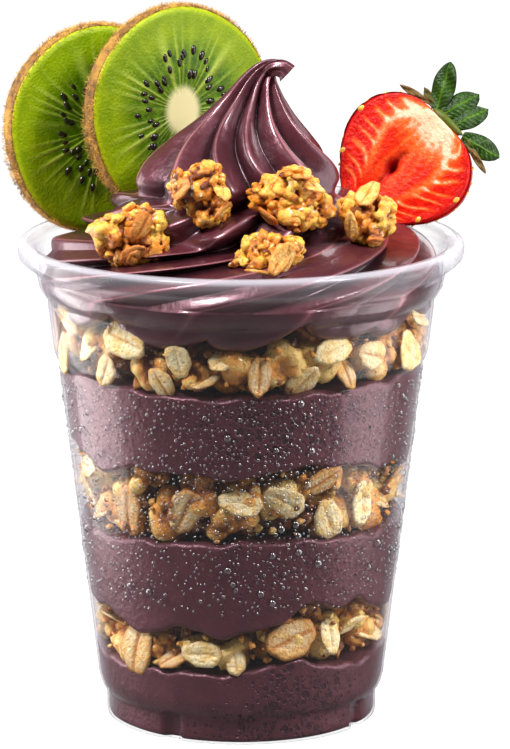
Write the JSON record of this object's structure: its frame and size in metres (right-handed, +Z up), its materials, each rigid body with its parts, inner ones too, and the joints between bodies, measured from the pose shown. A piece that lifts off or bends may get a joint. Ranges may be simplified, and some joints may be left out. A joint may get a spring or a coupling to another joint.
{
  "type": "layered acai cup",
  "caption": "Clear plastic cup of layered acai and granola with a soft-serve acai swirl, kiwi slices, half a strawberry and granola clusters on top.",
  "frame": {"origin": "centre of the cup's flat underside", "axes": "+Z up out of the cup; -Y towards the front, where the strawberry is on the +X side and the kiwi slices are on the -X side"},
  "size_m": [0.1097, 0.098, 0.1559],
  "materials": {
    "clear_plastic": "clear, thin, glossy",
    "acai": "moist frozen fruit puree, satin",
    "granola": "baked oats, rough",
    "kiwi": "moist cut fruit",
    "strawberry": "moist cut fruit",
    "leaf": "fresh leaf"
  },
  "bodies": {
    "root": {"cup": "clear_plastic", "acai_base": "acai", "granola_low": "granola", "acai_middle": "acai", "granola_middle": "granola", "acai_upper": "acai", "granola_upper": "granola", "acai_swirl": "acai", "granola_cluster_1": "granola", "granola_cluster_2": "granola", "granola_cluster_3": "granola", "granola_cluster_4": "granola", "granola_cluster_5": "granola", "kiwi_slice_front": "kiwi", "kiwi_slice_back": "kiwi", "strawberry_half": "strawberry", "strawberry_calyx": "leaf"}
  },
  "joints": []
}
